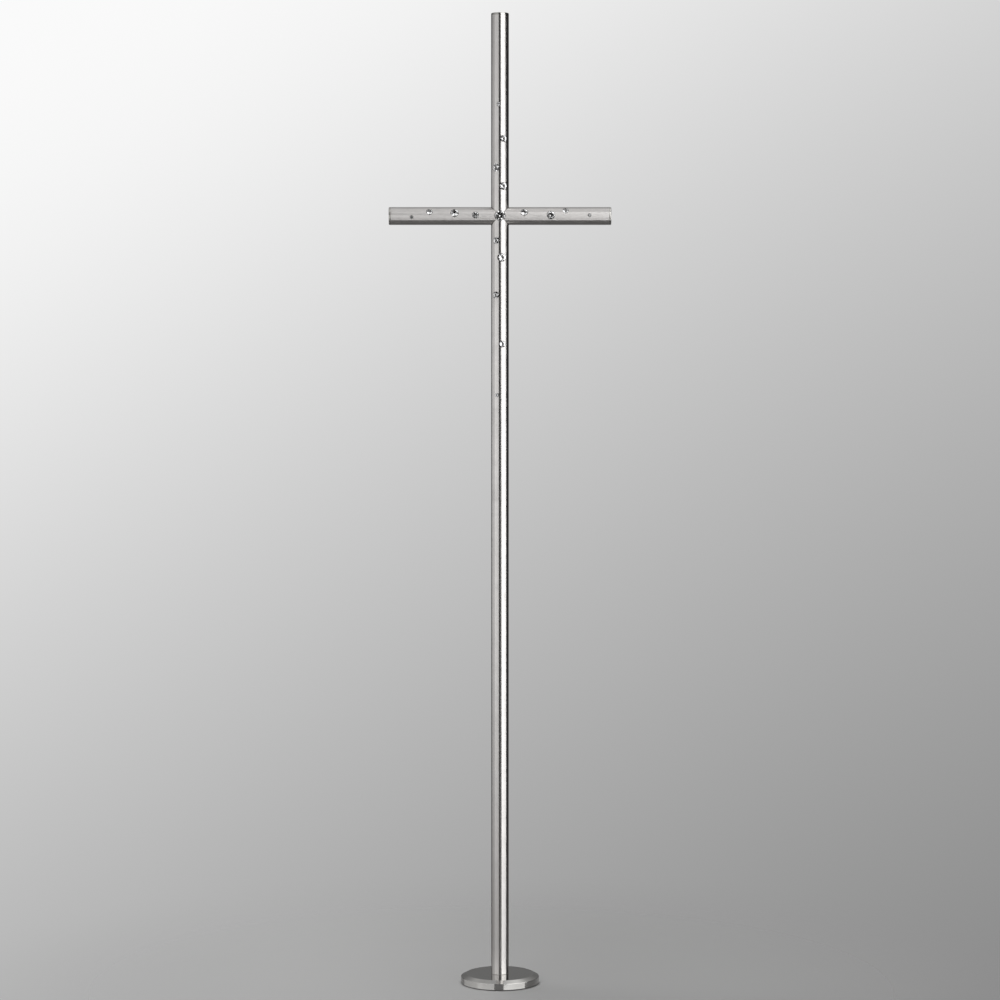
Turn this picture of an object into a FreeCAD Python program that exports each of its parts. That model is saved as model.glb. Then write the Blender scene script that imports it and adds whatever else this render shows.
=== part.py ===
import FreeCAD, Part

# Processional cross that stands on a round foot.
#
# The cross is a round steel pole with two coped arm tubes welded to it, a plug cap in
# each open end and clear stones sunk into turned settings along its front.  The pole
# slips over a spigot on the foot disc: it lifts off to be carried and turns on the
# spigot.  Millimetres, +Z up, the front faces -Y, and the origin is on the floor at the
# middle of the foot.

import math
import os

# Overall sizes
total_height = 2200.0
arm_span = 502.0
upper_arm_length = 455.0  # from the crossing's centre to the top of the cross

# Tube of the pole and of the arms
tube_diameter = 40.0
tube_wall = 2.0
tube_end_chamfer = 0.25
arm_tip_gap = 1.0  # the coped tips are dressed back this far from the pole's middle

# Plug caps
cap_lid = 5.0
cap_edge_radius = 3.0
cap_plug_length = 8.0
cap_plug_clearance = 0.05
cap_plug_chamfer = 1.0

# Foot disc
foot_diameter = 178.0
foot_thickness = 20.0
bevel_width = 12.0
bevel_height = 6.0
foot_bottom_chamfer = 0.5

# Anti-slip ring under the disc
ring_inset = 10.0  # from the disc's edge to the ring
ring_width = 18.0
ring_thickness = 3.0
ring_proud = 1.5
ring_groove_clearance = 0.15

# Spigot, the slip washer round it and its two O-rings
spigot_length = 150.0  # above the disc
spigot_clearance = 0.2  # on the radius, in the pole
spigot_recess = 3.0
spigot_recess_clearance = 0.05
spigot_lead_length = 14.0
spigot_lead_width = 5.0
washer_thickness = 0.5
washer_inset = 0.3  # how far the washer's rim stays inside the pole's surface
washer_clearance = 0.1
o_ring_section = 2.4
o_ring_clearance = 0.05
o_ring_groove_width = 3.2
o_ring_groove_clearance = 0.03
lower_o_ring_height = 30.0  # above the disc
upper_o_ring_depth = 18.0  # below the start of the lead

# Countersunk socket screw that holds the spigot
screw_diameter = 10.0
screw_length = 35.0
screw_head_diameter = 20.0
screw_head_rim = 0.5
screw_socket_width = 6.0  # across flats
screw_socket_depth = 4.0
screw_sink = 0.5
screw_clearance = 0.1
screw_tip_chamfer = 1.0
tapped_hole_spare = 4.0

# Stones, as shares of their diameter, with facet angles in degrees
table_share = 0.56
girdle_share = 0.03
girdle_sides = 64
crown_main_angle = 34.5
crown_star_angle = 22.0
crown_break_angle = 40.5
pavilion_main_angle = 40.8
pavilion_break_angle = 42.4

# Settings
cup_wall = 0.9
cup_floor = 1.0
cup_hole_share = 0.12
cup_press_clearance = 0.02
stone_clearance = 0.1
seat_gap = 0.12  # between the pavilion and the cone under it
rim_above_girdle = 0.3

# Stone diameters
centre_stone = 23.0
great_stone = 19.0
large_stone = 17.0
medium_stone = 15.0
small_stone = 13.0
tiny_stone = 8.5
least_stone = 6.5

# Where the stones lie: how far along each limb's field as a share of it, the turn
# round the tube towards the right or upwards in degrees, the diameter, and the roll
# about the stone's own axis.  An arm's or the upper limb's field runs from the crossing
# to the plug in its end, and the lower one is as long as stated.
lower_field = 420.0
STONES = {
    "upper": [
        (0.150, 22.0, large_stone, 5.0),
        (0.244, -29.0, large_stone, 31.0),
        (0.391, 24.0, medium_stone, 17.0),
        (0.566, -9.0, tiny_stone, 40.0),
    ],
    "lower": [
        (0.133, -26.0, medium_stone, 12.0),
        (0.224, 11.5, great_stone, 37.0),
        (0.425, -28.5, medium_stone, 22.0),
        (0.688, 14.0, medium_stone, 3.0),
        (0.962, -20.0, tiny_stone, 28.0),
    ],
    "left": [
        (0.233, 3.5, small_stone, 26.0),
        (0.429, 19.0, large_stone, 9.0),
        (0.668, 26.5, small_stone, 34.0),
        (0.836, -11.5, least_stone, 15.0),
    ],
    "right": [
        (0.231, 24.0, medium_stone, 20.0),
        (0.482, 3.5, large_stone, 43.0),
        (0.622, 37.0, small_stone, 6.0),
        (0.847, 2.5, least_stone, 30.0),
    ],
}

# Worked out from the driving sizes
tube_radius = tube_diameter / 2
bore_radius = tube_radius - tube_wall
arm_reach = arm_span / 2
crossing_height = total_height - upper_arm_length
foot_radius = foot_diameter / 2
ring_outer_radius = foot_radius - ring_inset
ring_inner_radius = ring_outer_radius - ring_width
foot_top = ring_proud + foot_thickness
pole_bottom = foot_top + washer_thickness
spigot_radius = bore_radius - spigot_clearance
spigot_bottom = foot_top - spigot_recess
spigot_top = foot_top + spigot_length
lead_start = spigot_top - spigot_lead_length
o_ring_centre_radius = bore_radius - o_ring_clearance - o_ring_section / 2
o_ring_levels = {
    "o_ring_lower": foot_top + lower_o_ring_height,
    "o_ring_upper": lead_start - upper_o_ring_depth,
}
field_end = cap_lid + cap_plug_length
field_lengths = {
    "upper": upper_arm_length - field_end,
    "lower": lower_field,
    "left": arm_reach - field_end,
    "right": arm_reach - field_end,
}
cutter_reach = tube_diameter  # any length that passes well clear of a tube's wall
gem_diameter = 10.0  # the stone that all the others are scaled from

Vector = FreeCAD.Vector
UP = Vector(0, 0, 1)
FRONT = Vector(0, -1, 0)
CROSSING = Vector(0, 0, crossing_height)


def turned(profile):
    """A solid turned about the Z axis from (radius, height) corners."""
    points = [Vector(radius, 0, height) for radius, height in profile]
    wire = Part.makePolygon(points + points[:1])
    return Part.Face(wire).revolve(Vector(0, 0, 0), UP, 360)


def moved(shape, origin, outward, roll=0.0):
    """A copy of shape with its origin at origin and its +Z along outward."""
    turn = FreeCAD.Rotation(UP, outward).multiply(FreeCAD.Rotation(UP, roll))
    copy = shape.copy()
    copy.Placement = FreeCAD.Placement(origin, turn)
    return copy


def rod(radius, start, along, length):
    """A round rod from start, along a unit vector."""
    return Part.makeCylinder(radius, length, start, along)


def circle_edge(shape, radius, height):
    """The circular edge of a turned shape at this radius and height."""
    found = [
        edge
        for edge in shape.Edges
        if isinstance(edge.Curve, Part.Circle)
        and abs(edge.Curve.Radius - radius) < 1e-6
        and abs(edge.Curve.Center.z - height) < 1e-6
    ]
    return found[0]


def foot_disc():
    """The turned disc: bevelled top edge, spigot recess, screw seat and ring groove."""
    underside = ring_proud
    disc = turned(
        [
            (0, underside),
            (foot_radius - foot_bottom_chamfer, underside),
            (foot_radius, underside + foot_bottom_chamfer),
            (foot_radius, foot_top - bevel_height),
            (foot_radius - bevel_width, foot_top),
            (0, foot_top),
        ]
    )
    recess = rod(
        spigot_radius + spigot_recess_clearance,
        Vector(0, 0, spigot_bottom),
        UP,
        foot_thickness,
    )
    groove_outer = ring_outer_radius + ring_groove_clearance
    groove_inner = ring_inner_radius - ring_groove_clearance
    groove = turned(
        [
            (groove_inner, 0),
            (groove_outer, 0),
            (groove_outer, ring_thickness),
            (groove_inner, ring_thickness),
        ]
    )
    head_radius = screw_head_diameter / 2 + screw_clearance
    hole_radius = screw_diameter / 2 + screw_clearance
    head_top = underside + screw_sink + screw_head_rim
    screw_hole = turned(
        [
            (0, 0),
            (head_radius, 0),
            (head_radius, head_top),
            (hole_radius, head_top + head_radius - hole_radius),
            (hole_radius, foot_top),
            (0, foot_top),
        ]
    )
    return disc.cut([recess, groove, screw_hole])


def anti_slip_ring():
    """The flat rubber ring that stands a little proud of the disc's underside."""
    return turned(
        [
            (ring_inner_radius, 0),
            (ring_outer_radius, 0),
            (ring_outer_radius, ring_thickness),
            (ring_inner_radius, ring_thickness),
        ]
    )


def spigot():
    """The bar that the pole slips over: tapered lead, O-ring grooves, tapped hole."""
    bar = turned(
        [
            (0, spigot_bottom),
            (spigot_radius, spigot_bottom),
            (spigot_radius, lead_start),
            (spigot_radius - spigot_lead_width, spigot_top),
            (0, spigot_top),
        ]
    )
    grooves = []
    deep = o_ring_centre_radius - o_ring_section / 2 - o_ring_groove_clearance
    clear = spigot_radius + 1
    for level in o_ring_levels.values():
        low = level - o_ring_groove_width / 2
        high = level + o_ring_groove_width / 2
        grooves.append(turned([(deep, low), (clear, low), (clear, high), (deep, high)]))
    thread_radius = screw_diameter / 2 + screw_clearance
    depth = ring_proud + screw_sink + screw_length + tapped_hole_spare
    tapped_hole = turned(
        [
            (0, spigot_bottom),
            (thread_radius, spigot_bottom),
            (thread_radius, depth),
            (0, depth + thread_radius * math.tan(math.radians(30))),
        ]
    )
    return bar.cut(grooves + [tapped_hole])


def o_ring(level):
    """One O-ring: its outside just clears the pole's bore."""
    return Part.makeTorus(o_ring_centre_radius, o_ring_section / 2, Vector(0, 0, level), UP)


def spigot_screw():
    """The countersunk screw with a hexagon socket, head down."""
    head_bottom = ring_proud + screw_sink
    head_radius = screw_head_diameter / 2
    shank_radius = screw_diameter / 2
    head_top = head_bottom + screw_head_rim
    tip = head_bottom + screw_length
    body = turned(
        [
            (0, head_bottom),
            (head_radius, head_bottom),
            (head_radius, head_top),
            (shank_radius, head_top + head_radius - shank_radius),
            (shank_radius, tip - screw_tip_chamfer),
            (shank_radius - screw_tip_chamfer, tip),
            (0, tip),
        ]
    )
    corner = screw_socket_width / math.sqrt(3)
    corners = [
        Vector(
            corner * math.cos(math.radians(60 * k)),
            corner * math.sin(math.radians(60 * k)),
            head_bottom,
        )
        for k in range(6)
    ]
    socket = Part.Face(Part.makePolygon(corners + corners[:1])).extrude(UP * screw_socket_depth)
    return body.cut(socket)


def slip_washer():
    """The thin plastic washer that the pole's end rests and turns on."""
    inner = spigot_radius + washer_clearance
    outer = tube_radius - washer_inset
    return turned(
        [(inner, foot_top), (outer, foot_top), (outer, pole_bottom), (inner, pole_bottom)]
    )


def tube(length):
    """A tube along +Z from the origin, with both outer end edges just broken."""
    edge = tube_end_chamfer
    return turned(
        [
            (bore_radius, 0),
            (tube_radius - edge, 0),
            (tube_radius, edge),
            (tube_radius, length - edge),
            (tube_radius - edge, length),
            (bore_radius, length),
        ]
    )


def end_cap():
    """A plug cap along +Z: its lid stands on the tube's end at the origin."""
    plug_radius = bore_radius - cap_plug_clearance
    cap = turned(
        [
            (0, -cap_plug_length),
            (plug_radius - cap_plug_chamfer, -cap_plug_length),
            (plug_radius, cap_plug_chamfer - cap_plug_length),
            (plug_radius, 0),
            (tube_radius, 0),
            (tube_radius, cap_lid),
            (0, cap_lid),
        ]
    )
    radius = min(cap_edge_radius, 0.8 * cap_lid)
    return cap.makeFillet(radius, [circle_edge(cap, tube_radius, cap_lid)])


def half_space(tilt, azimuth, distance, size):
    """A block that holds all material inside a facet plane.

    The plane's outward normal leans tilt degrees from +Z towards azimuth, and the
    plane is distance from the origin.
    """
    lean = math.radians(tilt)
    turn = math.radians(azimuth)
    normal = Vector(
        math.sin(lean) * math.cos(turn), math.sin(lean) * math.sin(turn), math.cos(lean)
    )
    block = Part.makeBox(2 * size, 2 * size, 2 * size, Vector(-size, -size, distance - 2 * size))
    return moved(block, Vector(0, 0, 0), normal)


def brilliant():
    """A round brilliant, crown up, with its girdle's lower edge at z = 0."""
    radius = gem_diameter / 2
    girdle = girdle_share * gem_diameter
    table_radius = table_share * radius
    size = 3 * gem_diameter
    crown = (radius - table_radius) * math.tan(math.radians(crown_main_angle))
    table_height = girdle + crown
    pavilion = radius * math.tan(math.radians(pavilion_main_angle))
    ring = [
        Vector(
            radius * math.cos(2 * math.pi * k / girdle_sides),
            radius * math.sin(2 * math.pi * k / girdle_sides),
            -pavilion,
        )
        for k in range(girdle_sides)
    ]
    blank = Part.Face(Part.makePolygon(ring + ring[:1])).extrude(UP * (pavilion + table_height))

    def cut_ring(shape, tilt, count, first, reach, height):
        """Cuts count facets, each through the point at this reach and height."""
        lean = math.radians(tilt)
        distance = reach * math.sin(lean) + height * math.cos(lean)
        for k in range(count):
            azimuth = first + 360.0 * k / count
            shape = shape.common(half_space(tilt, azimuth, distance, size))
        return shape

    step = 360.0 / 8
    break_reach = radius * math.cos(math.radians(step / 4))
    star_reach = table_radius * math.cos(math.radians(step / 2))
    stone = cut_ring(blank, crown_main_angle, 8, 0, radius, girdle)
    stone = cut_ring(stone, crown_star_angle, 8, step / 2, star_reach, table_height)
    stone = cut_ring(stone, crown_break_angle, 16, step / 4, break_reach, girdle)
    stone = cut_ring(stone, 180 - pavilion_main_angle, 8, 0, radius, 0)
    stone = cut_ring(stone, 180 - pavilion_break_angle, 16, step / 4, break_reach, 0)
    return stone.removeSplitter()


def girdle_depth(diameter, skin_drop):
    """How far a stone's girdle lies under the crest of the tube."""
    return skin_drop + rim_above_girdle + girdle_share * diameter


def cup(diameter, depth):
    """A turned setting, +Z outwards from the tube's crest, left long at the top."""
    bore = diameter / 2 + stone_clearance
    outer = diameter / 2 + cup_wall
    slope = math.tan(math.radians(pavilion_break_angle))
    hole = cup_hole_share * diameter
    seat = -depth - seat_gap
    bottom = seat - (bore - hole) * slope
    return turned(
        [
            (bore, cutter_reach),
            (bore, seat),
            (hole, bottom),
            (hole, bottom - cup_floor),
            (hole + cup_wall, bottom - cup_floor),
            (outer, seat - cup_wall),
            (outer, cutter_reach),
        ]
    )


def seat_drop(diameter):
    """How far a tube's round surface falls away at the edge of a stone's bore."""
    bore = diameter / 2 + stone_clearance
    return tube_radius - math.sqrt(tube_radius**2 - bore**2)


def crossing_drop(diameter):
    """The same at the crossing, where the two tubes' crests carry the rim."""
    diagonal = (diameter / 2 + stone_clearance) / math.sqrt(2)
    return tube_radius - math.sqrt(tube_radius**2 - diagonal**2)


def seat_hole(diameter, crest, outward):
    """The cutter for the round hole that a setting is pressed into."""
    radius = diameter / 2 + cup_wall + cup_press_clearance
    start = crest + outward * cutter_reach
    return rod(radius, start, outward * -1, cutter_reach + tube_radius)


def stone_place(group, station, turn):
    """The crest point and the outward direction of one stone."""
    angle = math.radians(turn)
    distance = station * field_lengths[group]
    if group in ("upper", "lower"):
        outward = Vector(math.sin(angle), -math.cos(angle), 0)
        offset = UP * (distance if group == "upper" else -distance)
    else:
        outward = Vector(0, -math.cos(angle), math.sin(angle))
        offset = Vector(distance if group == "right" else -distance, 0, 0)
    return CROSSING + offset + outward * tube_radius, outward


def save(name, shape):
    """Writes one node's solid."""
    shape.exportStep(os.path.join("parts", name + ".step"))


def main():
    os.makedirs("parts", exist_ok=True)

    # Stand
    save("foot_disc", foot_disc())
    save("anti_slip_ring", anti_slip_ring())
    save("spigot", spigot())
    save("spigot_screw", spigot_screw())
    for name, level in o_ring_levels.items():
        save(name, o_ring(level))
    save("slip_washer", slip_washer())

    # Tubes, before their stone holes
    pole_length = total_height - cap_lid - pole_bottom
    pole = moved(tube(pole_length), Vector(0, 0, pole_bottom), UP)
    pole_skin = rod(tube_radius, Vector(0, 0, pole_bottom), UP, pole_length)
    arms = {}
    arm_skins = {}
    arm_length = arm_reach - cap_lid
    tip_corner = CROSSING - Vector(arm_tip_gap, cutter_reach, cutter_reach)
    tips = Part.makeBox(2 * arm_tip_gap, 2 * cutter_reach, 2 * cutter_reach, tip_corner)
    for side, sign in (("left", -1), ("right", 1)):
        outward = Vector(sign, 0, 0)
        arms[side] = moved(tube(arm_length), CROSSING, outward).cut([pole_skin, tips])
        arm_skins[side] = rod(tube_radius, CROSSING, outward, arm_length)

    # Settings and stones
    gem = brilliant()
    holes = {"upper": [], "lower": [], "left": [], "right": []}
    for group, stones in STONES.items():
        skin = arm_skins.get(group, pole_skin)
        for number, (station, turn, diameter, roll) in enumerate(stones, 1):
            crest, outward = stone_place(group, station, turn)
            depth = girdle_depth(diameter, seat_drop(diameter))
            setting = moved(cup(diameter, depth), crest, outward).common(skin)
            gem_of_size = gem.scaled(diameter / gem_diameter)
            stone = moved(gem_of_size, crest - outward * depth, outward, roll)
            holes[group].append(seat_hole(diameter, crest, outward))
            save(f"setting_{group}_{number}", setting)
            save(f"stone_{group}_{number}", stone)

    # The large stone where the tubes cross, whose hole cuts all three tubes
    crest = CROSSING + FRONT * tube_radius
    depth = girdle_depth(centre_stone, crossing_drop(centre_stone))
    crossing_skin = pole_skin.fuse([arm_skins["left"], arm_skins["right"]])
    save("setting_centre", moved(cup(centre_stone, depth), crest, FRONT).common(crossing_skin))
    centre_gem = gem.scaled(centre_stone / gem_diameter)
    save("stone_centre", moved(centre_gem, crest - FRONT * depth, FRONT))
    centre_hole = seat_hole(centre_stone, crest, FRONT)

    save("pole_tube", pole.cut(holes["upper"] + holes["lower"] + [centre_hole]))
    for side in ("left", "right"):
        save(f"arm_tube_{side}", arms[side].cut(holes[side] + [centre_hole]))

    # Caps
    cap = end_cap()
    save("end_cap_top", moved(cap, Vector(0, 0, total_height - cap_lid), UP))
    for side, sign in (("left", -1), ("right", 1)):
        outward = Vector(sign, 0, 0)
        save(f"end_cap_{side}", moved(cap, CROSSING + outward * (arm_reach - cap_lid), outward))


main()
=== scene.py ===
import math

import bpy
import numpy as np
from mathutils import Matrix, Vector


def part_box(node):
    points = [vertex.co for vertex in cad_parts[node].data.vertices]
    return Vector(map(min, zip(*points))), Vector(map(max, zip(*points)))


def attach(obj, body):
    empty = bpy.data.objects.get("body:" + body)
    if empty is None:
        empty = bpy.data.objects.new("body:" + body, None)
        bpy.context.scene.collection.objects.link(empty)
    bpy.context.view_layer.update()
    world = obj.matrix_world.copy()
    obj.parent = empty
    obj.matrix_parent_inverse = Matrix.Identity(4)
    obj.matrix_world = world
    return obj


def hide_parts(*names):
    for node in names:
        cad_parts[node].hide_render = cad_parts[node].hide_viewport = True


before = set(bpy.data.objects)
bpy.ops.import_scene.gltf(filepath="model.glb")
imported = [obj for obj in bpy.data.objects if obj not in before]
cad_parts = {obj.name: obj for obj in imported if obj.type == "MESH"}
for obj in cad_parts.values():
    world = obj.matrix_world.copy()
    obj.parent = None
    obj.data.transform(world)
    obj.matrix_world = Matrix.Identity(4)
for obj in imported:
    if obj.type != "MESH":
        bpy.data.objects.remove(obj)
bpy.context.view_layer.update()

MM = 0.001

# ---------------------------------------------------------------------------------------
# Pole tube: stainless tube of 40 x 2 mm, sawn square, ground and brushed round its girth.
# The seats for the stones are bored square to its axis.  Its lower end slips over the
# spigot and stands on the slip washer; the arms are welded to it.
# ---------------------------------------------------------------------------------------
TUBE_RADIUS = 20.0 * MM
BORE_RADIUS = 18.0 * MM
END_CHAMFER = 0.25 * MM
PLAIN_STEP = 24.0 * MM
SEAT_STEP = 1.3 * MM
SEAT_MARGIN = 2.0 * MM
RING_SHARES = (0.4, 0.75, 1.0)
CREASE = math.radians(30)
GIRTH = np.linspace(0.0, 2 * math.pi, 128, endpoint=False)
CROSSING = (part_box("arm_tube_left")[0].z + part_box("arm_tube_left")[1].z) / 2
STONES = sorted(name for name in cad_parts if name.startswith("stone_"))


def stone_seat(name, arm):
    """Where a stone's seat lies on its tube: distance along, angle round, hole radius.

    The mean of a round stone's corners lies on its own axis, so the angle is that of the
    mean about the tube's axis.  The hole is as wide as the setting is across the tube.
    """
    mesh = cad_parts[name].data
    corners = np.empty(3 * len(mesh.vertices))
    mesh.vertices.foreach_get("co", corners)
    x, y, z = corners.reshape(-1, 3).mean(axis=0)
    low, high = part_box(name.replace("stone", "setting"))
    if arm:
        return abs(x), math.atan2(z - CROSSING, -y), (high.x - low.x) / 2
    return z, math.atan2(x, -y), (high.z - low.z) / 2


def rows_between(start, end, seats):
    """Distances along a tube: far apart on its plain runs, close together at each seat.

    Each seat has a band from its place less (hole + margin) to its place plus the same,
    divided evenly into steps of about SEAT_STEP.  The runs between the bands are divided
    evenly too, into steps of PLAIN_STEP at most.
    """
    bands = [
        np.linspace(
            at - hole - SEAT_MARGIN, at + hole + SEAT_MARGIN,
            2 * round((hole + SEAT_MARGIN) / SEAT_STEP) + 1,
        )
        for at, turn, hole in sorted(seats)
    ]
    edges = [start] + [value for band in bands for value in (band[0], band[-1])] + [end]
    runs = [
        np.linspace(a, b, max(1, math.ceil((b - a) / PLAIN_STEP)) + 1)
        for a, b in zip(edges[0::2], edges[1::2])
    ]
    joined = np.concatenate(runs + bands)
    return np.unique(joined.round(9))


def tube_wall(along, radius, seats):
    """One wall of a tube, unrolled, with a round hole at each seat.

    Row i and column j give the point (along[i, j], GIRTH[j], radius[i]).  Round each seat
    the cells of a rectangle are left out.  Its border's points look at the hole's middle
    under an angle a, and lines run from them to the rim's point at the same angle:
    along = place + hole cos a, angle = turn + asin(hole sin a / radius), which is where
    a straight round cutter meets the curved wall.  Rings of corners lie on those lines at
    RING_SHARES of the way.
    """
    rows, columns = along.shape
    points = np.empty((rows, columns, 3))
    points[..., 0] = along
    points[..., 1] = GIRTH
    points[..., 2] = radius[:, None]
    index = np.arange(rows * columns).reshape(rows, columns)
    beside = np.roll(index, -1, axis=1)
    cells = np.stack([index[:-1], beside[:-1], beside[1:], index[1:]], axis=-1)
    kept = np.ones((rows - 1, columns), bool)
    points = [points.reshape(-1, 3)]
    faces = []
    rims = []
    count = rows * columns
    step = GIRTH[1]
    for place, turn, hole in seats:
        low = int(np.argmin(abs(along[:, 0] - (place - hole - SEAT_MARGIN))))
        high = int(np.argmin(abs(along[:, 0] - (place + hole + SEAT_MARGIN))))
        half = math.asin(hole / TUBE_RADIUS) + SEAT_MARGIN / TUBE_RADIUS
        first, last = math.floor((turn - half) / step), math.ceil((turn + half) / step)
        side = np.arange(first, last + 1) % columns
        border = np.concatenate(
            [
                index[low, side[:-1]],
                index[low:high, side[-1]],
                index[high, side[:0:-1]],
                index[high:low:-1, side[0]],
            ]
        )
        kept[low:high, side[:-1]] = False
        edge = points[0][border]
        swing = (edge[:, 1] - turn + math.pi) % (2 * math.pi) - math.pi
        look = np.arctan2(TUBE_RADIUS * swing, edge[:, 0] - place)
        wall = edge[:, 2]
        hole_rim = np.stack(
            [place + hole * np.cos(look), np.arcsin(hole * np.sin(look) / wall), wall], axis=-1
        )
        start = np.stack([edge[:, 0], swing, wall], axis=-1)
        inner = border
        for share in RING_SHARES:
            ring = start + (hole_rim - start) * share
            ring[:, 1] += turn
            points.append(ring)
            outer = inner
            inner = count + np.arange(len(border))
            count += len(border)
            corners = [outer, np.roll(outer, -1), np.roll(inner, -1), inner]
            faces.append(np.stack(corners, axis=-1))
        rims.append(inner)
    faces.append(cells[kept])
    return np.concatenate(points), np.concatenate(faces), rims, index[0], index[-1]


def bored_tube(outer_along, inner_along, outer_radius, inner_radius, seats):
    """Both walls of a tube, joined round every hole and at both ends.

    The inner wall has the outer one's rows and columns and looks the other way.  Each rim
    and end of one wall is joined to the same one of the other by a ring of quads.
    """
    skin, skin_faces, skin_rims, skin_start, skin_end = tube_wall(outer_along, outer_radius, seats)
    lining, lining_faces, lining_rims, start, end = tube_wall(inner_along, inner_radius, seats)
    shift = len(skin)
    joints = [(a, b + shift) for a, b in zip(skin_rims, lining_rims)]
    joints.append((skin_start[::-1], start[::-1] + shift))
    joints.append((skin_end, end + shift))
    rings = [np.stack([a, np.roll(a, -1), np.roll(b, -1), b], axis=-1) for a, b in joints]
    faces = np.concatenate([skin_faces, lining_faces[:, ::-1] + shift] + rings)
    return np.concatenate([skin, lining]), faces


def surface_piece(name, points, faces, along, around, material):
    """A closed piece from corner points and quads; a triangle repeats its last corner.

    Corners no face uses are dropped.  If the volume, the sum of a . (b x c) / 6 over the
    triangles, is negative, every face is turned round, so that faces look outwards.  The
    UV map holds the distance along the profile in metres and the turn round the axis,
    and a face that crosses the seam takes one whole turn more on its low side.
    """
    used, faces = np.unique(faces, return_inverse=True)
    faces = faces.reshape(-1, 4)
    points, along, around = points[used], along[used], around[used]
    a, b, c, d = (points[faces[:, k]] for k in range(4))
    volume = (a * np.cross(b, c)).sum() + (a * np.cross(c, d)).sum()
    if volume < 0:
        faces = np.where(
            (faces[:, 2] == faces[:, 3])[:, None], faces[:, [1, 0, 2, 2]], faces[:, ::-1]
        )
    triangle = faces[:, 2] == faces[:, 3]
    order = [face[: 3 if three else 4] for face, three in zip(faces.tolist(), triangle)]
    mesh = bpy.data.meshes.new(name)
    mesh.from_pydata(points.tolist(), [], order)
    turns = (around / (2 * math.pi)) % 1.0
    corner_turns = turns[faces]
    crosses = np.ptp(corner_turns, axis=1) > 0.5
    corner_turns += (corner_turns < 0.5) & crosses[:, None]
    corners = np.stack([along[faces], corner_turns], axis=-1)
    present = np.ones(faces.shape, bool)
    present[:, 3] = ~triangle
    layer = mesh.uv_layers.new(name="turning")
    layer.data.foreach_set("uv", corners[present].astype(np.float32).ravel())
    mesh.shade_smooth()
    mesh.set_sharp_from_angle(angle=CREASE)
    mesh.materials.append(material)
    piece = bpy.data.objects.new(name, mesh)
    bpy.context.scene.collection.objects.link(piece)
    return piece


def new_group(name, inputs, outputs):
    """A shader node group with the named sockets, and its input and output nodes."""
    group = bpy.data.node_groups.new(name, "ShaderNodeTree")
    for title, kind, value in inputs:
        socket = group.interface.new_socket(name=title, in_out="INPUT", socket_type=kind)
        if value is not None:
            socket.default_value = value
    for title, kind in outputs:
        group.interface.new_socket(name=title, in_out="OUTPUT", socket_type=kind)
    return group, group.nodes.new("NodeGroupInput"), group.nodes.new("NodeGroupOutput")


def fill(tree, made, **inputs):
    """Fills a node's inputs by name or number: a socket is linked, anything else is set."""
    for key, value in inputs.items():
        socket = made.inputs[int(key) if key.isdigit() else key.replace("_", " ")]
        if isinstance(value, bpy.types.NodeSocket):
            tree.links.new(value, socket)
        else:
            socket.default_value = value


def node(tree, kind, **settings):
    """A node of this kind: settings name its properties, or its inputs by in_NAME."""
    made = tree.nodes.new("ShaderNode" + kind)
    for key, value in settings.items():
        if key.startswith("in_"):
            fill(tree, made, **{key[3:]: value})
        else:
            setattr(made, key, value)
    return made


def worked_out(tree, operation, *values):
    """The result of a Math node on one, two or three values."""
    numbered = {f"in_{place}": value for place, value in enumerate(values)}
    return node(tree, "Math", operation=operation, **numbered).outputs[0]


def ranged(tree, value, start, end, low=0.0, high=1.0, soft=False):
    """Carries a value from the range start to end over to low to high, and clamps it."""
    made = node(tree, "MapRange", in_0=value, in_1=start, in_2=end, in_3=low, in_4=high)
    if soft:
        made.interpolation_type = "SMOOTHSTEP"
    return made.outputs[0]


def blend(tree, share, first, second, how="MIX"):
    """The colour that lies a share of the way from the first to the second.

    Each of the two is a socket, or three numbers for red, green and blue.
    """
    a, b = ((*end, 1.0) if isinstance(end, tuple) else end for end in (first, second))
    made = node(tree, "Mix", data_type="RGBA", blend_type=how, in_Factor=share, in_A=a, in_B=b)
    return made.outputs["Result"]


def new_material(name):
    """A material, its tree, its Principled shader and the piece's own coordinates."""
    material = bpy.data.materials.new(name)
    material.use_nodes = True
    tree = material.node_tree
    place = node(tree, "TexCoord")
    return material, tree, tree.nodes["Principled BSDF"], place.outputs["Object"]


# Brushing: fine grinding lines that run round the work, and broad bands where the belt
# bit a little harder.  Lines is how many there are to a metre of profile.
BANDS_TO_A_METRE = 38.0
BREAKS_TO_A_TURN = 9.0
brushing, given, result = new_group(
    "brushing",
    [
        ("Along", "NodeSocketFloat", None),
        ("Turn", "NodeSocketFloat", None),
        ("Lines", "NodeSocketFloat", 2200.0),
    ],
    [("Lines", "NodeSocketFloat"), ("Bands", "NodeSocketFloat")],
)
along_work, turn_round = given.outputs["Along"], given.outputs["Turn"]
line_point = node(
    brushing, "CombineXYZ",
    in_X=worked_out(brushing, "MULTIPLY", along_work, given.outputs["Lines"]),
    in_Y=worked_out(brushing, "MULTIPLY", turn_round, BREAKS_TO_A_TURN),
)
line_noise = node(
    brushing, "TexNoise", noise_dimensions="2D", in_Vector=line_point.outputs[0],
    in_Scale=1.0, in_Detail=3.0, in_Roughness=0.65,
)
band_point = node(
    brushing, "CombineXYZ", in_Y=turn_round,
    in_X=worked_out(brushing, "MULTIPLY", along_work, BANDS_TO_A_METRE),
)
band_noise = node(
    brushing, "TexNoise", noise_dimensions="2D", in_Vector=band_point.outputs[0],
    in_Scale=1.0, in_Detail=4.0, in_Roughness=0.6,
)
fill(brushing, result, Lines=line_noise.outputs[0], Bands=band_noise.outputs[0])

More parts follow.
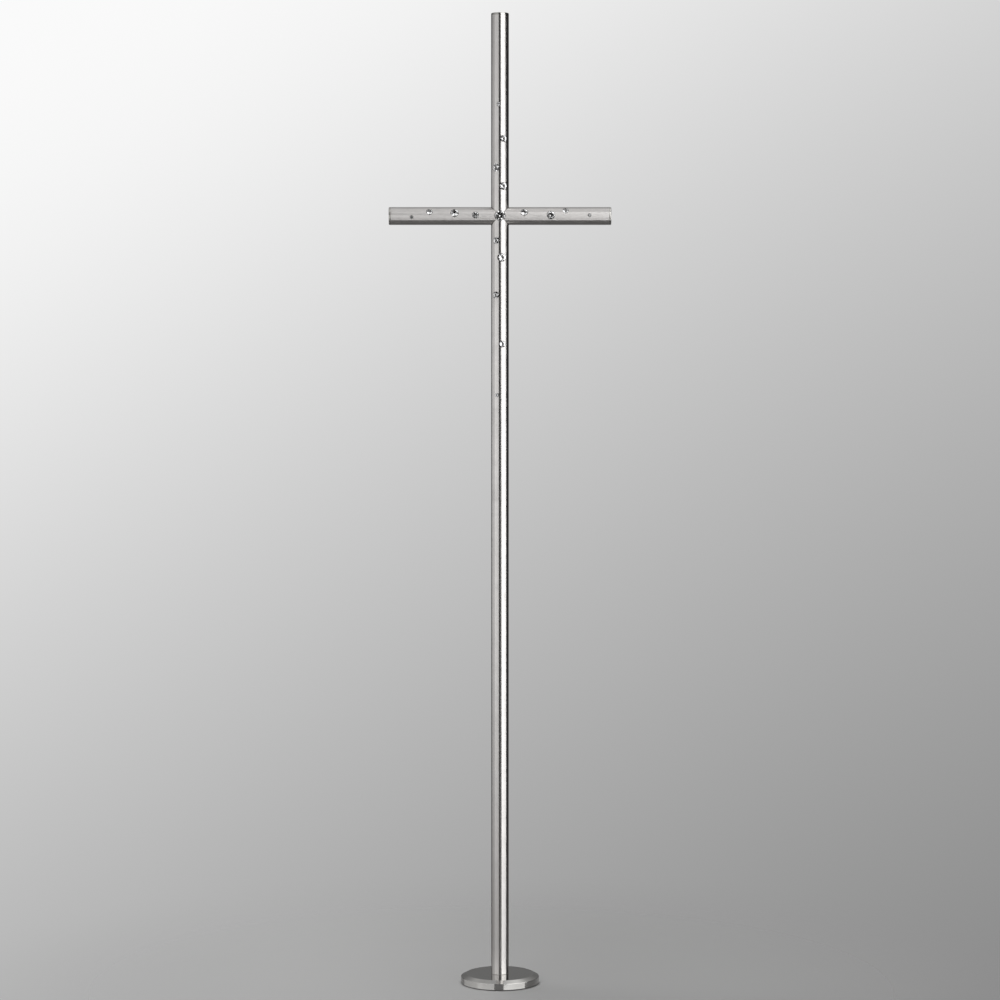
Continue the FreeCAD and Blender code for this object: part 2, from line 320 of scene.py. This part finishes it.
# Handling: soft smudges left by hands and cloths, and sparse specks of dust.
DUST_CELLS = 420.0
handling, given, result = new_group(
    "handling",
    [("Place", "NodeSocketVector", None), ("Spread", "NodeSocketFloat", 14.0)],
    [("Smudges", "NodeSocketFloat"), ("Dust", "NodeSocketFloat")],
)
smudge_noise = node(
    handling, "TexNoise", in_Vector=given.outputs["Place"], in_Scale=given.outputs["Spread"],
    in_Detail=5.0, in_Roughness=0.6, in_Distortion=0.6,
)
dust_cells = node(
    handling, "TexVoronoi", in_Vector=given.outputs["Place"], in_Scale=DUST_CELLS,
    in_Randomness=1.0,
)
fill(
    handling, result,
    Smudges=ranged(handling, smudge_noise.outputs[0], 0.46, 0.72, soft=True),
    Dust=ranged(handling, dust_cells.outputs["Distance"], 0.11, 0.05),
)

# Weld: a thin dark line where the arms meet the pole, partly heat tint and partly painted
# shade of the concave corner.  Tubes of one size that cross at right angles meet where
# |x| = |z - CROSSING|.  The line is full where the two differ by up to SEAM_CORE, and widens
# from the tubes' front towards their sides, as the corner's painted shade does.
SEAM_CORE = 0.2 * MM
SEAM_FRONT = 0.8 * MM
SEAM_SIDE = 2.2 * MM
weld, given, result = new_group(
    "weld", [("Place", "NodeSocketVector", None)], [("Seam", "NodeSocketFloat")]
)
apart = node(
    weld, "VectorMath", operation="SUBTRACT", in_0=given.outputs["Place"],
    in_1=(0.0, 0.0, CROSSING),
)
apart = node(weld, "VectorMath", operation="ABSOLUTE", in_0=apart.outputs[0])
apart = node(weld, "SeparateXYZ", in_0=apart.outputs[0])
sideways, upwards = apart.outputs[0], apart.outputs[2]
off_seam = worked_out(weld, "ABSOLUTE", worked_out(weld, "SUBTRACT", sideways, upwards))
wide = ranged(weld, sideways, 0.3 * TUBE_RADIUS, TUBE_RADIUS, SEAM_FRONT, SEAM_SIDE)
line = ranged(weld, off_seam, SEAM_CORE, wide, 1.0, 0.0, soft=True)
near = worked_out(weld, "LESS_THAN", sideways, TUBE_RADIUS + MM)
fill(weld, result, Seam=worked_out(weld, "MULTIPLY", line, near))

DUST_GREY = (0.42, 0.41, 0.39)
DUST_COVER = 0.12
SEAM_TINT_AND_SHADE = (0.09, 0.075, 0.065)
SEAM_SHADE_COVER = 0.8
LINE_SHADE = 0.86
MARK_DEPTH = 0.05 * MM


def brushed_steel(name, tint, smooth, rough, lines, depth, stretch):
    """Stainless steel brushed round its girth.

    Roughness goes from smooth to rough with the lines, the bands and the smudges, the
    bump follows the lines, and the gloss is drawn out along the profile, square to them.
    """
    material, tree, shader, place = new_material(name)
    turning = node(tree, "UVMap", uv_map="turning")
    parts = node(tree, "SeparateXYZ", in_0=turning.outputs[0])
    marks = node(
        tree, "Group", node_tree=brushing, in_Along=parts.outputs[0],
        in_Turn=parts.outputs[1], in_Lines=lines,
    )
    touched = node(tree, "Group", node_tree=handling, in_Place=place)
    joined = node(tree, "Group", node_tree=weld, in_Place=place)
    worn = worked_out(tree, "MULTIPLY", touched.outputs["Smudges"], 0.35)
    uneven = worked_out(tree, "MULTIPLY_ADD", marks.outputs["Bands"], 0.6, worn)
    mixed = worked_out(tree, "MULTIPLY_ADD", marks.outputs["Lines"], 0.5, uneven)
    colour = blend(tree, mixed, tint, tuple(value * LINE_SHADE for value in tint))
    dust = worked_out(tree, "MULTIPLY", touched.outputs["Dust"], DUST_COVER)
    colour = blend(tree, dust, colour, DUST_GREY)
    # Heat tint and painted shade along the weld seam darken the colour there.
    seam_tint_and_shade = worked_out(tree, "MULTIPLY", joined.outputs["Seam"], SEAM_SHADE_COVER)
    colour = blend(tree, seam_tint_and_shade, colour, SEAM_TINT_AND_SHADE)
    bump = node(
        tree, "Bump", in_Height=marks.outputs["Lines"], in_Strength=depth,
        in_Distance=MARK_DEPTH,
    )
    tangent = node(tree, "Tangent", direction_type="UV_MAP", uv_map="turning")
    fill(
        tree, shader, Metallic=1.0, Anisotropic=stretch, Base_Color=colour,
        Roughness=ranged(tree, mixed, 0.3, 1.0, smooth, rough),
        Normal=bump.outputs[0], Tangent=tangent.outputs[0],
    )
    return material


tube_steel = brushed_steel(
    "tube_steel", (0.75, 0.73, 0.715), smooth=0.27, rough=0.34, lines=2200.0,
    depth=0.03, stretch=1.0,
)
pole_low, pole_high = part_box("pole_tube")
pole_seats = [
    stone_seat(name, False) for name in STONES if "left" not in name and "right" not in name
]
pole_rows = rows_between(pole_low.z + END_CHAMFER, pole_high.z - END_CHAMFER, pole_seats)
pole_rows = np.concatenate([[pole_low.z], pole_rows, [pole_high.z]])
pole_along = np.repeat(pole_rows[:, None], len(GIRTH), axis=1)
pole_skin = np.full(len(pole_rows), TUBE_RADIUS)
pole_skin[[0, -1]] -= END_CHAMFER
pole_lining = np.full(len(pole_rows), BORE_RADIUS)
points, faces = bored_tube(pole_along, pole_along, pole_skin, pole_lining, pole_seats)
along, turn, radius = points.T
pole = surface_piece(
    "pole",
    np.stack([radius * np.sin(turn), -radius * np.cos(turn), along], axis=-1),
    faces, along, turn, tube_steel,
)
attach(pole, "cross")
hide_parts("pole_tube")

# ---------------------------------------------------------------------------------------
# Arm tubes: two lengths of the same tube, their inner ends coped to the pole's round and
# welded to it, the weld ground flush.  The large stone's seat is bored through their tips.
# ---------------------------------------------------------------------------------------
TIP_GAP = 1.0 * MM
COPE_ROOM = 30.0 * MM
COPE_ROWS = 6
centre_low, centre_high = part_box("setting_centre")
centre_hole = (centre_high.x - centre_low.x) / 2


def cope(radius):
    """Where an arm's wall of this radius starts, for each angle round its girth.

    The wall's point at angle a is radius cos a in front of the pole's axis, so it meets
    the pole's skin at the root of (pole radius^2 - (radius cos a)^2).  In front it stops
    at the large hole too, at the root of (hole^2 - (radius sin a)^2), and it never comes
    nearer to the middle than TIP_GAP.
    """
    forward = radius * np.cos(GIRTH)
    height = radius * np.sin(GIRTH)
    skin = np.sqrt(TUBE_RADIUS**2 - forward**2)
    hole = np.sqrt(np.clip(centre_hole**2 - height**2, 0, None))
    return np.maximum(np.maximum(skin, np.where(forward > 0, hole, 0)), TIP_GAP)


for side, sign in (("left", -1), ("right", 1)):
    low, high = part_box("arm_tube_" + side)
    end = max(abs(low.x), abs(high.x))
    seats = [stone_seat(name, True) for name in STONES if side in name]
    rows = rows_between(COPE_ROOM, end - END_CHAMFER, seats)
    rows = np.concatenate([rows, [end]])
    skin = np.full(COPE_ROWS + len(rows), TUBE_RADIUS)
    skin[-1] -= END_CHAMFER
    lining = np.full(COPE_ROWS + len(rows), BORE_RADIUS)
    share = (np.arange(COPE_ROWS) / COPE_ROWS)[:, None]
    straight = np.repeat(rows[:, None], len(GIRTH), axis=1)
    starts = [cope(wall) for wall in (TUBE_RADIUS, BORE_RADIUS)]
    walls = [np.concatenate([start + (COPE_ROOM - start) * share, straight]) for start in starts]
    points, faces = bored_tube(walls[0], walls[1], skin, lining, seats)
    along, turn, radius = points.T
    arm = surface_piece(
        "arm_" + side,
        np.stack([sign * along, -radius * np.cos(turn), CROSSING + radius * np.sin(turn)], axis=-1),
        faces, along, turn, tube_steel,
    )
    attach(arm, "cross")
    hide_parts("arm_tube_" + side)

# ---------------------------------------------------------------------------------------
# End caps: turned steel plugs pressed into the three open ends.  The lid is as wide as
# the tube, with a soft outer edge, and shows a hairline joint where it meets the tube.
# ---------------------------------------------------------------------------------------
LID = 5.0 * MM
LID_EDGE = 3.0 * MM
LID_SEAM = 0.25 * MM
PLUG_RADIUS = 17.95 * MM
PLUG_LENGTH = 8.0 * MM
PLUG_CHAMFER = 1.0 * MM
EASE_POINTS = 7
EASE_SHARE = 0.38
FLAT_GUARD = 1.15


def eased_profile(corners, closed):
    """Rounds the corners (radius, height, edge) of a profile.

    An edge runs as the parabola (1-s)^2 A + 2 s (1-s) C + s^2 B from A to B, which lie on
    either side of the corner C, at most EASE_SHARE of the shorter side away.  One more
    point beyond each end, FLAT_GUARD times as far from C, keeps the flats flat.  The first
    and last corners of an open profile stay sharp.
    """
    corner = np.array([c[:2] for c in corners])
    edge = np.array([c[2] for c in corners])
    before = np.roll(corner, 1, axis=0) - corner
    after = np.roll(corner, -1, axis=0) - corner
    if not closed:
        edge[[0, -1]] = 0
    length_before = np.linalg.norm(before, axis=1)
    length_after = np.linalg.norm(after, axis=1)
    reach = np.minimum(edge, EASE_SHARE * np.minimum(length_before, length_after))[:, None]
    a = before / length_before[:, None] * reach
    b = after / length_after[:, None] * reach
    s = np.linspace(0, 1, EASE_POINTS)[:, None, None]
    arc = (1 - s) ** 2 * a + s**2 * b
    stretch = np.concatenate([a[None] * FLAT_GUARD, arc, b[None] * FLAT_GUARD]) + corner
    path = stretch.transpose(1, 0, 2).reshape(-1, 2)
    step = np.linalg.norm(path - np.roll(path, 1, axis=0), axis=1)
    step[0] = step[0] if closed else 1.0
    return path[step > 1e-8]


def turned_solid(profile, closed, columns):
    """Revolves a profile about its axis: (r, h) at angle a goes to (r cos a, r sin a, h).

    A closed profile joins its last point to its first.  An open one starts and ends on
    the axis, where a whole row of corners is one corner and its faces are triangles.
    """
    angles = np.linspace(0, 2 * math.pi, columns, endpoint=False)
    rows = len(profile)
    r, h = (profile[:, k][:, None] for k in (0, 1))
    points = np.stack(
        [r * np.cos(angles), r * np.sin(angles), h + 0 * angles], axis=-1
    ).reshape(-1, 3)
    length = np.concatenate([[0], np.cumsum(np.linalg.norm(np.diff(profile, axis=0), axis=1))])
    index = np.arange(rows * columns).reshape(rows, columns)
    following = np.roll(index, -1, axis=0) if closed else index[1:]
    this = index if closed else index[:-1]
    faces = np.stack(
        [this, np.roll(this, -1, axis=1), np.roll(following, -1, axis=1), following], axis=-1
    )
    if not closed:
        first, last = faces[0], faces[-1]
        first[:, :2] = first[:, 2:]
        first[:, 2:] = index[0, 0]
        last[:, 2:] = index[-1, 0]
    around = np.tile(angles, rows)
    return points, faces.reshape(-1, 4), np.repeat(length, columns), around


cap_steel = brushed_steel(
    "cap_steel", (0.66, 0.645, 0.62), smooth=0.15, rough=0.28, lines=2600.0,
    depth=0.05, stretch=0.8,
)
cap_profile = eased_profile(
    [
        (0, -PLUG_LENGTH, 0),
        (PLUG_RADIUS - PLUG_CHAMFER, -PLUG_LENGTH, 0.2 * MM),
        (PLUG_RADIUS, PLUG_CHAMFER - PLUG_LENGTH, 0.2 * MM),
        (PLUG_RADIUS, 0, 0.1 * MM),
        (TUBE_RADIUS, 0, LID_SEAM),
        (TUBE_RADIUS, LID, LID_EDGE),
        (0, LID, 0),
    ],
    False,
)
points, faces, along, around = turned_solid(cap_profile, False, len(GIRTH))
x, y, h = points.T
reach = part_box("end_cap_right")[1].x - LID
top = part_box("end_cap_top")[1].z - LID
for end, placed in (
    ("top", np.stack([x, y, top + h], axis=-1)),
    ("left", np.stack([-reach - h, y, CROSSING + x], axis=-1)),
    ("right", np.stack([reach + h, y, CROSSING + x], axis=-1)),
):
    cap = surface_piece("cap_" + end, placed, faces, along, around, cap_steel)
    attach(cap, "cross")
    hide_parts("end_cap_" + end)

# ---------------------------------------------------------------------------------------
# Settings: small steel cups turned from bar, pressed into the tubes' holes and trimmed
# flush.  Their colour is painted dark, painted shade for the hollow seat round each stone,
# so that each clear stone stands out against the bright tube.
# ---------------------------------------------------------------------------------------
setting_steel, tree, shader, place = new_material("setting_steel")
touched = node(tree, "Group", node_tree=handling, in_Place=place, in_Spread=160.0)
smudges = touched.outputs["Smudges"]
tool_marks = node(tree, "TexNoise", in_Vector=place, in_Scale=2400.0, in_Detail=2.0)
bump = node(
    tree, "Bump", in_Height=tool_marks.outputs[0], in_Strength=0.08, in_Distance=0.02 * MM
)
# Painted shade: the settings' colour is dark grey, and darker still where smudged.
fill(
    tree, shader, Metallic=1.0,
    Base_Color=blend(tree, smudges, (0.36, 0.35, 0.34), (0.22, 0.214, 0.208)),
    Roughness=ranged(tree, smudges, 0.0, 1.0, 0.07, 0.16),
    Normal=bump.outputs[0],
)
for name in STONES:
    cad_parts[name.replace("stone", "setting")].data.materials[0] = setting_steel

# ---------------------------------------------------------------------------------------
# Stones: clear lead crystal, cut as round brilliants of 57 facets and glued into the
# settings with their girdles just under the rim.
# ---------------------------------------------------------------------------------------
CRYSTAL_INDEX = 1.58
crystal, tree, shader, place = new_material("crystal")
touched = node(tree, "Group", node_tree=handling, in_Place=place, in_Spread=220.0)
smudges = touched.outputs["Smudges"]
fill(
    tree, shader, Transmission_Weight=1.0, IOR=CRYSTAL_INDEX,
    Base_Color=blend(tree, smudges, (1.0, 1.0, 1.0), (0.94, 0.965, 1.0)),
    Roughness=ranged(tree, smudges, 0.0, 1.0, 0.0, 0.03),
)
for name in STONES:
    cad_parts[name].data.materials[0] = crystal

# ---------------------------------------------------------------------------------------
# Foot disc: turned from 20 mm stainless plate, its top edge bevelled and the whole disc
# polished, so that it mirrors the pole.  Bored and countersunk for the spigot's screw.
# ---------------------------------------------------------------------------------------
DISC_RADIUS = 89.0 * MM
BEVEL_WIDTH = 12.0 * MM
BEVEL_HEIGHT = 6.0 * MM
RECESS_RADIUS = 17.85 * MM
RECESS_DEPTH = 3.0 * MM
GROOVE_OUTER = 79.15 * MM
GROOVE_INNER = 60.85 * MM
GROOVE_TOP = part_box("anti_slip_ring")[1].z
HEAD_SEAT = 10.1 * MM
HEAD_DEPTH = 1.0 * MM
SCREW_HOLE = 5.1 * MM
DISC_COLUMNS = 192
disc_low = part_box("foot_disc")[0].z
disc_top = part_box("foot_disc")[1].z
disc_profile = eased_profile(
    [
        (RECESS_RADIUS, disc_top, 0.2 * MM),
        (DISC_RADIUS - BEVEL_WIDTH, disc_top, 0.7 * MM),
        (DISC_RADIUS, disc_top - BEVEL_HEIGHT, 0.7 * MM),
        (DISC_RADIUS, disc_low, 0.6 * MM),
        (GROOVE_OUTER, disc_low, 0.2 * MM),
        (GROOVE_OUTER, GROOVE_TOP, 0.1 * MM),
        (GROOVE_INNER, GROOVE_TOP, 0.1 * MM),
        (GROOVE_INNER, disc_low, 0.2 * MM),
        (HEAD_SEAT, disc_low, 0.1 * MM),
        (HEAD_SEAT, disc_low + HEAD_DEPTH, 0.05 * MM),
        (SCREW_HOLE, disc_low + HEAD_DEPTH + HEAD_SEAT - SCREW_HOLE, 0.05 * MM),
        (SCREW_HOLE, disc_top - RECESS_DEPTH, 0.05 * MM),
        (RECESS_RADIUS, disc_top - RECESS_DEPTH, 0.05 * MM),
    ],
    True,
)
disc_steel = brushed_steel(
    "disc_steel", (0.64, 0.63, 0.61), smooth=0.05, rough=0.14, lines=2600.0,
    depth=0.02, stretch=0.5,
)
points, faces, along, around = turned_solid(disc_profile, True, DISC_COLUMNS)
disc = surface_piece("foot_plate", points, faces, along, around, disc_steel)
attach(disc, "stand")
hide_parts("foot_disc")

# ---------------------------------------------------------------------------------------
# Spigot and its screw: a turned steel bar with two O-ring grooves, held by a countersunk
# socket screw from below.  The pole hides it until it is lifted off.
# ---------------------------------------------------------------------------------------
spigot_steel, tree, shader, place = new_material("spigot_steel")
level = node(tree, "SeparateXYZ", in_0=place)
marks = node(
    tree, "Group", node_tree=brushing, in_Along=level.outputs[2], in_Lines=1500.0
)
bump = node(
    tree, "Bump", in_Height=marks.outputs["Lines"], in_Strength=0.1, in_Distance=MARK_DEPTH
)
fill(
    tree, shader, Metallic=1.0,
    Base_Color=blend(tree, marks.outputs["Lines"], (0.64, 0.63, 0.61), (0.50, 0.49, 0.47)),
    Roughness=ranged(tree, marks.outputs["Bands"], 0.3, 0.7, 0.18, 0.36),
    Normal=bump.outputs[0],
)
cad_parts["spigot"].data.materials[0] = spigot_steel

screw_steel = spigot_steel.copy()
screw_steel.name = "screw_steel"
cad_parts["spigot_screw"].data.materials[0] = screw_steel

# ---------------------------------------------------------------------------------------
# Rubber and plastic: the anti-slip ring let into the underside, the spigot's two O-rings
# and the thin washer of natural acetal that the pole turns on.
# ---------------------------------------------------------------------------------------


def moulded(name, plain, bloom, low, high):
    """Moulded rubber or plastic: the plain colour with a bloom and a fine dull grain."""
    material, tree, shader, place = new_material(name)
    touched = node(tree, "Group", node_tree=handling, in_Place=place, in_Spread=90.0)
    grain = node(tree, "TexNoise", in_Vector=place, in_Scale=3200.0, in_Detail=2.0)
    bump = node(
        tree, "Bump", in_Height=grain.outputs[0], in_Strength=0.3, in_Distance=MARK_DEPTH
    )
    fill(
        tree, shader, Base_Color=blend(tree, touched.outputs["Smudges"], plain, bloom),
        Roughness=ranged(tree, grain.outputs[0], 0.3, 0.7, low, high),
        Normal=bump.outputs[0],
    )
    return material


ring_rubber = moulded("ring_rubber", (0.018, 0.018, 0.019), (0.05, 0.049, 0.047), 0.62, 0.85)
washer_plastic = moulded("washer_plastic", (0.6, 0.59, 0.55), (0.48, 0.47, 0.44), 0.38, 0.5)
for name in ("anti_slip_ring", "o_ring_lower", "o_ring_upper"):
    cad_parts[name].data.materials[0] = ring_rubber
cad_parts["slip_washer"].data.materials[0] = washer_plastic

# ---------------------------------------------------------------------------------------
# Floor: a pale disc under the cross that fades into the backdrop at its edge.  Its colour
# holds painted shade, darker towards the right, and a painted reflection for the steel.
# ---------------------------------------------------------------------------------------
FLOOR_RADIUS = 1.5
FLOOR_RINGS = 25
FLOOR_TURNS = 96
FOOT_NEAR = 0.18
FOOT_FAR = 0.24
NEAR_COVER = 0.54
rings = np.linspace(0.0, FLOOR_RADIUS, FLOOR_RINGS)[:, None]
turns = np.linspace(0, 2 * math.pi, FLOOR_TURNS, endpoint=False)
floor_points = np.stack(
    [rings * np.cos(turns), rings * np.sin(turns), 0 * rings * turns], axis=-1
)
cell = np.arange(FLOOR_RINGS * FLOOR_TURNS).reshape(FLOOR_RINGS, FLOOR_TURNS)
floor_faces = np.stack(
    [cell[:-1], cell[1:], np.roll(cell[1:], -1, axis=1), np.roll(cell[:-1], -1, axis=1)], axis=-1
)
floor_faces = floor_faces[1:].reshape(-1, 4).tolist() + [cell[1].tolist()]
floor_mesh = bpy.data.meshes.new("floor")
floor_mesh.from_pydata(floor_points.reshape(-1, 3).tolist(), [], floor_faces)
floor = bpy.data.objects.new("floor", floor_mesh)
bpy.context.scene.collection.objects.link(floor)
floor_paint, tree, shader, place = new_material("floor_paint")
distance = node(tree, "VectorMath", operation="LENGTH", in_0=place).outputs["Value"]
sideways = node(tree, "SeparateXYZ", in_0=place).outputs[0]
fade = ranged(tree, distance, 0.25, FLOOR_RADIUS * 0.95, 1.0, 0.0, soft=True)
# Painted shade: the floor's colour goes from pale on the left to darker on the right.
painted_side_shade = ranged(tree, sideways, -0.6, 0.3, soft=True)
paint = blend(tree, painted_side_shade, (0.5, 0.5, 0.498), (0.392, 0.392, 0.39))

# Painted reflection: to glossy rays the floor is fainter, and away from the foot it is
# painted dark, so the steel mirrors a darker floor than the camera sees.
mirrored = node(tree, "LightPath").outputs["Is Glossy Ray"]
beyond = ranged(tree, distance, FOOT_NEAR, FOOT_FAR)
most = ranged(tree, sideways, -0.1, 0.15, 0.95, 0.5)
most = node(tree, "Mix", in_Factor=beyond, in_A=NEAR_COVER, in_B=most).outputs[0]
faint = worked_out(tree, "MINIMUM", fade, most)
painted_reflection_shade = worked_out(tree, "MULTIPLY", mirrored, beyond)
fill(
    tree, shader, Roughness=0.75,
    Alpha=node(tree, "Mix", in_Factor=mirrored, in_A=fade, in_B=faint).outputs[0],
    Base_Color=blend(tree, painted_reflection_shade, paint, (0.16, 0.155, 0.15)),
)
floor_mesh.materials.append(floor_paint)

# ---------------------------------------------------------------------------------------
# Studio: a room of soft panels all round for the steel to mirror, a plain graded
# backdrop, two hung sheets, and one large soft lamp overhead that gives the soft shadow.
# ---------------------------------------------------------------------------------------
world = bpy.data.worlds.new("studio")
bpy.context.scene.world = world
world.use_nodes = True
tree = world.node_tree
tree.nodes.clear()


def bearing_round(tree, place):
    """The bearing of a place, from the front towards the right: atan2(x, -y).

    Gives the place's height, its bearing in radians, and its bearing as a share of a turn
    plus one half.
    """
    axes = node(tree, "SeparateXYZ", in_0=place)
    forward = worked_out(tree, "MULTIPLY", axes.outputs[1], -1.0)
    angle = worked_out(tree, "ARCTAN2", axes.outputs[0], forward)
    share = worked_out(tree, "MULTIPLY_ADD", angle, 1 / (2 * math.pi), 0.5)
    return axes.outputs[2], angle, share


way = node(tree, "TexCoord")
upwards, bearing, bearing_share = bearing_round(tree, way.outputs["Generated"])
rise = worked_out(tree, "MULTIPLY", worked_out(tree, "ARCSINE", upwards), 180 / math.pi)
rise_share = worked_out(tree, "MULTIPLY_ADD", rise, 1 / 180, 0.5)

# Panels round the room: bearing in degrees from the front towards the right, brightness.
PANEL_BRIGHTEST = 2.0
PANELS = [
    (-180, 0.29), (-165, 0.27), (-150, 0.26), (-144, 0.10), (-134, 0.06), (-130, 0.32),
    (-84, 0.45), (-64, 0.60), (-21, 0.60), (-16, 0.01), (82, 0.01), (125, 0.02), (138, 0.20),
    (160, 0.26), (180, 0.29),
]
# What that is multiplied by at each height in degrees, and the ceiling's own brightness
# at each bearing.
HEIGHTS_BRIGHTEST = 1.9
HEIGHTS = [(-90, 0.6), (0, 0.6), (9, 0.6), (22, 0.72), (35, 1.2), (46, 1.9), (90, 1.9)]
CEILING = [
    (-180, 0.45), (-150, 0.45), (-40, 0.45), (10, 0.82), (60, 1.35), (150, 1.0), (180, 0.45),
]


def step_ramp(tree, where, stops, span, brightest):
    """A colour ramp whose stops lie at degrees / span + 0.5 and hold value / brightest."""
    made = node(tree, "ValToRGB", in_0=where)
    ramp = made.color_ramp
    while len(ramp.elements) < len(stops):
        ramp.elements.new(0.5)
    for element, (degrees, light) in zip(ramp.elements, stops):
        element.position = degrees / span + 0.5
    for element, (degrees, light) in zip(ramp.elements, stops):
        element.color = (*[light / brightest] * 3, 1.0)
    return made.outputs[0]


# The panels' light is multiplied by the height's.  Each ramp is scaled to stay under one,
# and the strength of the room's light takes both scales back.
panels = step_ramp(tree, bearing_share, PANELS, 360, PANEL_BRIGHTEST / HEIGHTS_BRIGHTEST)
height = step_ramp(tree, rise_share, HEIGHTS, 180, HEIGHTS_BRIGHTEST)
ceiling_light = step_ramp(tree, bearing_share, CEILING, 360, PANEL_BRIGHTEST)
walls = blend(tree, 1.0, panels, height, "MULTIPLY")
overhead = ranged(tree, rise, 42.0, 58.0, soft=True)
ceiling = blend(tree, overhead, walls, ceiling_light)
underfoot = ranged(tree, rise, -45.0, -63.0, soft=True)
ground = blend(tree, underfoot, ceiling, (0.045, 0.045, 0.045))
room = node(tree, "Background", in_Color=ground, in_Strength=PANEL_BRIGHTEST)

# Backdrop: brighter upwards and to the left, and never quite the same all round.
RIPPLES = 3.0
RIPPLE_SWELL = -0.545
BACKDROP_LEVEL = 0.611
ripple = worked_out(tree, "SINE", worked_out(tree, "MULTIPLY", bearing, RIPPLES))
climb = ranged(tree, rise, -14.0, 9.0, -0.63, 0.405)
dip = ranged(tree, rise, -15.0, -40.0, 0.0, 0.45, soft=True)
swell = worked_out(tree, "MULTIPLY_ADD", ripple, RIPPLE_SWELL, climb)
swell = worked_out(tree, "ADD", swell, dip)
level = worked_out(tree, "MULTIPLY", worked_out(tree, "EXPONENT", swell), BACKDROP_LEVEL)
level = worked_out(tree, "SMOOTH_MIN", level, 0.96, 0.3)
backdrop = node(tree, "Background", in_Color=level, in_Strength=1.0)
seen = node(tree, "LightPath").outputs["Is Camera Ray"]
choice = node(
    tree, "MixShader", in_0=seen, in_1=room.outputs[0], in_2=backdrop.outputs[0]
)
node(tree, "OutputWorld", in_0=choice.outputs[0])

SHEET_AWAY = 2.2
SHEET_BRIGHTEST = 2.5
SHEET_COLUMNS = 25
LEVEL_SPAN = 10.0
LEVEL_BRIGHTEST = 1.2


def hung_sheet(name, edges, stops, levels):
    """A sheet hung in an arc round the pole and lit from behind.

    Each row of edges is a height and the bearings of the sheet's two edges there, and the
    point at share s of a row is (away sin b, -away cos b, height), b = near + (far - near) s.
    Its light is that of the stops at the bearing times that of the levels at the height.
    Only the steel and the stones mirror it: it lights no floor and casts no shadow.
    """
    rows = np.array(edges)
    share = np.linspace(0, 1, SHEET_COLUMNS)
    bearings = np.radians(rows[:, 1:2] + (rows[:, 2:3] - rows[:, 1:2]) * share)
    heights = np.repeat(rows[:, :1], len(share), axis=1)
    points = np.stack(
        [SHEET_AWAY * np.sin(bearings), -SHEET_AWAY * np.cos(bearings), heights], axis=-1
    )
    cell = np.arange(heights.size).reshape(heights.shape)
    faces = np.stack([cell[:-1, :-1], cell[1:, :-1], cell[1:, 1:], cell[:-1, 1:]], axis=-1)
    mesh = bpy.data.meshes.new(name)
    mesh.from_pydata(points.reshape(-1, 3).tolist(), [], faces.reshape(-1, 4).tolist())
    glow = bpy.data.materials.new(name)
    glow.use_nodes = True
    tree = glow.node_tree
    tree.nodes.clear()
    place = node(tree, "TexCoord")
    height, angle, turned = bearing_round(tree, place.outputs["Object"])
    rise = worked_out(tree, "MULTIPLY_ADD", height, 1 / LEVEL_SPAN, 0.5)
    light = step_ramp(tree, turned, stops, 360, SHEET_BRIGHTEST)
    level = step_ramp(tree, rise, levels, LEVEL_SPAN, LEVEL_BRIGHTEST)
    shine = node(
        tree, "Emission", in_Color=blend(tree, 1.0, light, level, "MULTIPLY"),
        in_Strength=SHEET_BRIGHTEST * LEVEL_BRIGHTEST,
    )
    node(tree, "OutputMaterial", in_0=shine.outputs[0])
    mesh.materials.append(glow)
    sheet = bpy.data.objects.new(name, mesh)
    bpy.context.scene.collection.objects.link(sheet)
    sheet.visible_camera = False
    sheet.visible_diffuse = False
    sheet.visible_shadow = False


# The right-hand sheet is white, from nearly in front round to the side.  The left-hand one
# is greyer and lower, and reaches round behind the pole.
hung_sheet(
    "white_sheet",
    [
        (-0.90, 9.5, 77.0), (-0.42, 10.3, 77.0), (-0.36, 22.0, 88.0), (-0.12, 23.5, 88.0),
        (0.50, 23.0, 88.0), (1.12, 21.0, 88.0), (1.73, 18.5, 88.0), (1.85, 17.5, 87.0),
        (1.97, 13.5, 69.0), (2.46, 9.0, 67.0), (4.20, 8.0, 65.0),
    ],
    [(0, 2.15), (25, 2.1), (50, 1.85), (90, 1.8)],
    [(-0.9, 0.92), (-0.4, 0.92), (-0.3, 0.75), (0.3, 0.9), (0.7, 1.12), (1.7, 1.12), (2.0, 1.0)],
)
hung_sheet(
    "grey_sheet",
    [(-0.90, -130.0, -16.5), (2.12, -130.0, -16.5)],
    [
        (-130, 0.58), (-119, 0.66), (-97, 0.76), (-78, 0.84), (-71, 0.92), (-66, 1.25),
        (-56, 1.25), (-50, 1.10), (-17, 1.08),
    ],
    [(-0.9, 0.95), (-0.42, 0.95), (-0.36, 0.32), (0.0, 0.42), (0.5, 0.82), (0.9, 1.06)],
)

lamp_data = bpy.data.lights.new("soft_lamp", "AREA")
lamp_data.shape = "DISK"
lamp_data.size = 1.6
lamp_data.energy = 66.0
lamp = bpy.data.objects.new("soft_lamp", lamp_data)
bpy.context.scene.collection.objects.link(lamp)
lamp.location = (-0.7, 0.9, 4.2)
lamp.rotation_euler = (math.radians(-12), math.radians(-9.5), 0)
lamp.visible_glossy = False
lamp.visible_camera = False

# ---------------------------------------------------------------------------------------
# Camera: a long lens in front, a little above the middle of the cross, tilted down.
# ---------------------------------------------------------------------------------------
camera_data = bpy.data.cameras.new("camera")
camera_data.sensor_width = 36.0
camera_data.lens = 96.895
camera = bpy.data.objects.new("camera", camera_data)
bpy.context.scene.collection.objects.link(camera)
camera.location = (0.0, -6.1, 1.355)
camera.rotation_euler = (math.radians(90 - 2.364), 0, 0)
bpy.context.scene.camera = camera
bpy.context.scene.view_settings.view_transform = "Standard"
